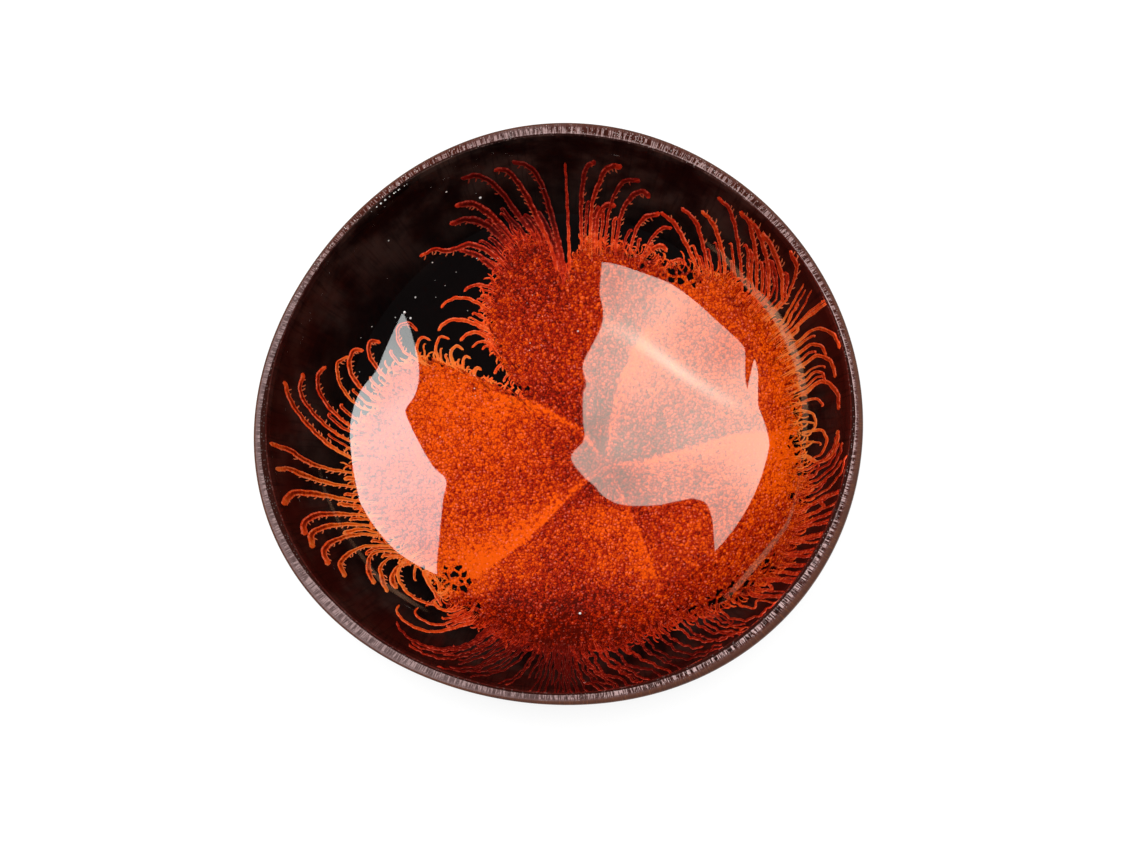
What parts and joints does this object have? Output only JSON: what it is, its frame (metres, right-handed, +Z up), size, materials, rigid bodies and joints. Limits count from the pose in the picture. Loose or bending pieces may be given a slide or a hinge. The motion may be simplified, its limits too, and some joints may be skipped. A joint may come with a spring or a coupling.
{
  "type": "coconut shell bowl",
  "caption": "Half coconut shell bowl with a sanded foot, a sawn rim and a glossy lacquered hollow.",
  "frame": {"origin": "middle of the rim outline's box, on the plane of the foot", "axes": "+Z up out of the hollow; +X along the outline's longer way, to the right in the picture; +Y to the top of the picture"},
  "size_m": [0.1398, 0.1346, 0.046],
  "materials": {
    "coconut_shell": "sanded and oiled",
    "dark_lacquer": "gloss",
    "orange_lacquer": "gloss",
    "clear_lacquer": "high gloss"
  },
  "bodies": {
    "root": {"shell": "coconut_shell", "ground_coat": "dark_lacquer", "colour_flow": "orange_lacquer", "clear_coat": "clear_lacquer"}
  },
  "joints": []
}
